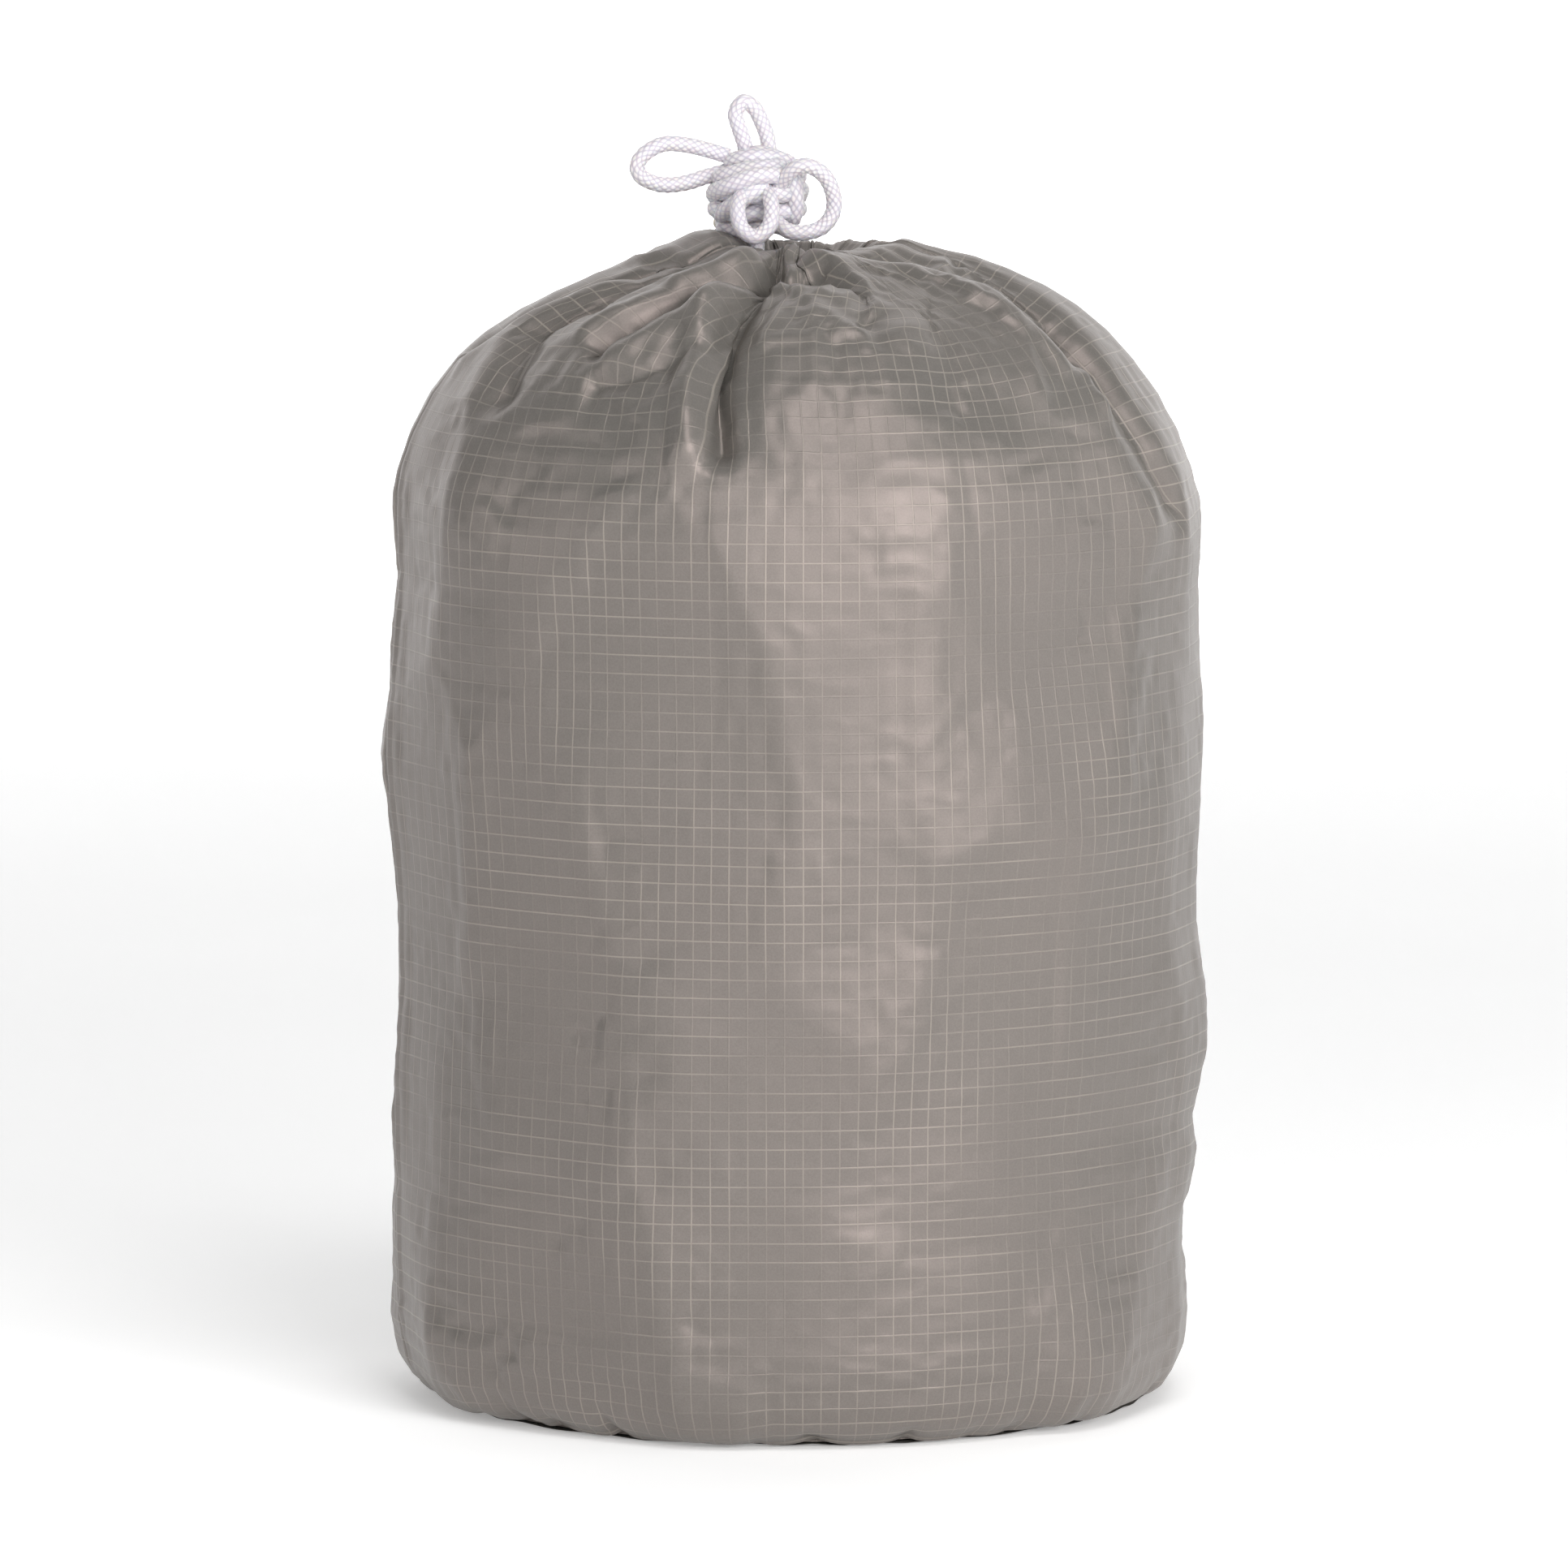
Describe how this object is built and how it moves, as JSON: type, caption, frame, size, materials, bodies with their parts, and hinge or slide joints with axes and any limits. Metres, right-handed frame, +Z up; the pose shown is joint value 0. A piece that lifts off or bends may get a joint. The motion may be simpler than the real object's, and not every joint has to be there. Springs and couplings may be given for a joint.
{
  "type": "stuff sack",
  "caption": "Round-based fabric stuff sack, packed full, with its mouth gathered shut on a knotted drawcord that is tied in loops.",
  "frame": {"origin": "middle of the base, on the surface that the sack stands on; the drawcord's pieces are not counted", "axes": "+Z up along the sack's axis, from the base to the gathered mouth; the front is towards -Y and the knot leans towards -X"},
  "size_m": [0.22, 0.22, 0.3543],
  "materials": {
    "ripstop": "satin grey ripstop nylon with a fine square grid of thicker threads",
    "seam_edges": "cut edges of the same nylon, sewn together",
    "thread": "grey polyester sewing thread",
    "cord": "white braided nylon cord",
    "melted_tip": "cord end melted into a bead"
  },
  "bodies": {
    "sack": {"body_panel": "ripstop", "base_panel": "ripstop", "base_seam_allowance": "seam_edges", "base_seam_thread": "thread", "side_seam_allowance": "seam_edges", "side_seam_thread": "thread", "cord_channel": "ripstop", "buttonhole_stitching": "thread", "channel_thread": "thread", "drawcord_in_channel": "cord"},
    "cord_legs": {"front_cord_leg": "cord", "rear_cord_leg": "cord"},
    "cord_knot": {"knot": "cord"},
    "loop_left": {"left_loop": "cord"},
    "loop_top": {"top_loop": "cord"},
    "loop_right": {"right_loop": "cord"},
    "loop_front": {"front_loop": "cord"},
    "tail_left": {"left_tail": "cord", "left_cord_tip": "melted_tip"},
    "tail_right": {"right_tail": "cord", "right_cord_tip": "melted_tip"}
  },
  "joints": [
    {"name": "drawcord_pull", "type": "slide", "parent": "sack", "child": "cord_legs", "axis": [0, 0, 1], "range_m": [0, 0.005]},
    {"name": "knot_tilt", "type": "hinge", "parent": "cord_legs", "child": "cord_knot", "pos_m": [-0.0104, 0, 0.3148], "axis": [0, 1, 0], "range_deg": [-25, 10], "stiffness_Nm_per_rad": 0.01},
    {"name": "left_loop_swing", "type": "hinge", "parent": "cord_knot", "child": "loop_left", "pos_m": [-0.0104, 0, 0.3285], "axis": [0, 0, 1], "range_deg": [-18, 20], "stiffness_Nm_per_rad": 0.002},
    {"name": "top_loop_swing", "type": "hinge", "parent": "cord_knot", "child": "loop_top", "pos_m": [-0.0104, 0, 0.3285], "axis": [1, 0, 0], "range_deg": [-10, 18], "stiffness_Nm_per_rad": 0.002},
    {"name": "right_loop_swing", "type": "hinge", "parent": "cord_knot", "child": "loop_right", "pos_m": [-0.0104, 0, 0.3285], "axis": [0, 0, 1], "range_deg": [0, 20], "stiffness_Nm_per_rad": 0.002},
    {"name": "front_loop_lift", "type": "hinge", "parent": "cord_knot", "child": "loop_front", "pos_m": [-0.0104, 0, 0.3285], "axis": [-1, 0, 0], "range_deg": [0, 16], "stiffness_Nm_per_rad": 0.002},
    {"name": "left_tail_lift", "type": "hinge", "parent": "cord_knot", "child": "tail_left", "pos_m": [-0.0104, 0, 0.3285], "axis": [1, 0, 0], "range_deg": [-3, 22], "stiffness_Nm_per_rad": 0.002},
    {"name": "right_tail_lift", "type": "hinge", "parent": "cord_knot", "child": "tail_right", "pos_m": [-0.0104, 0, 0.3285], "axis": [1, 0, 0], "range_deg": [-3, 22], "stiffness_Nm_per_rad": 0.002}
  ]
}
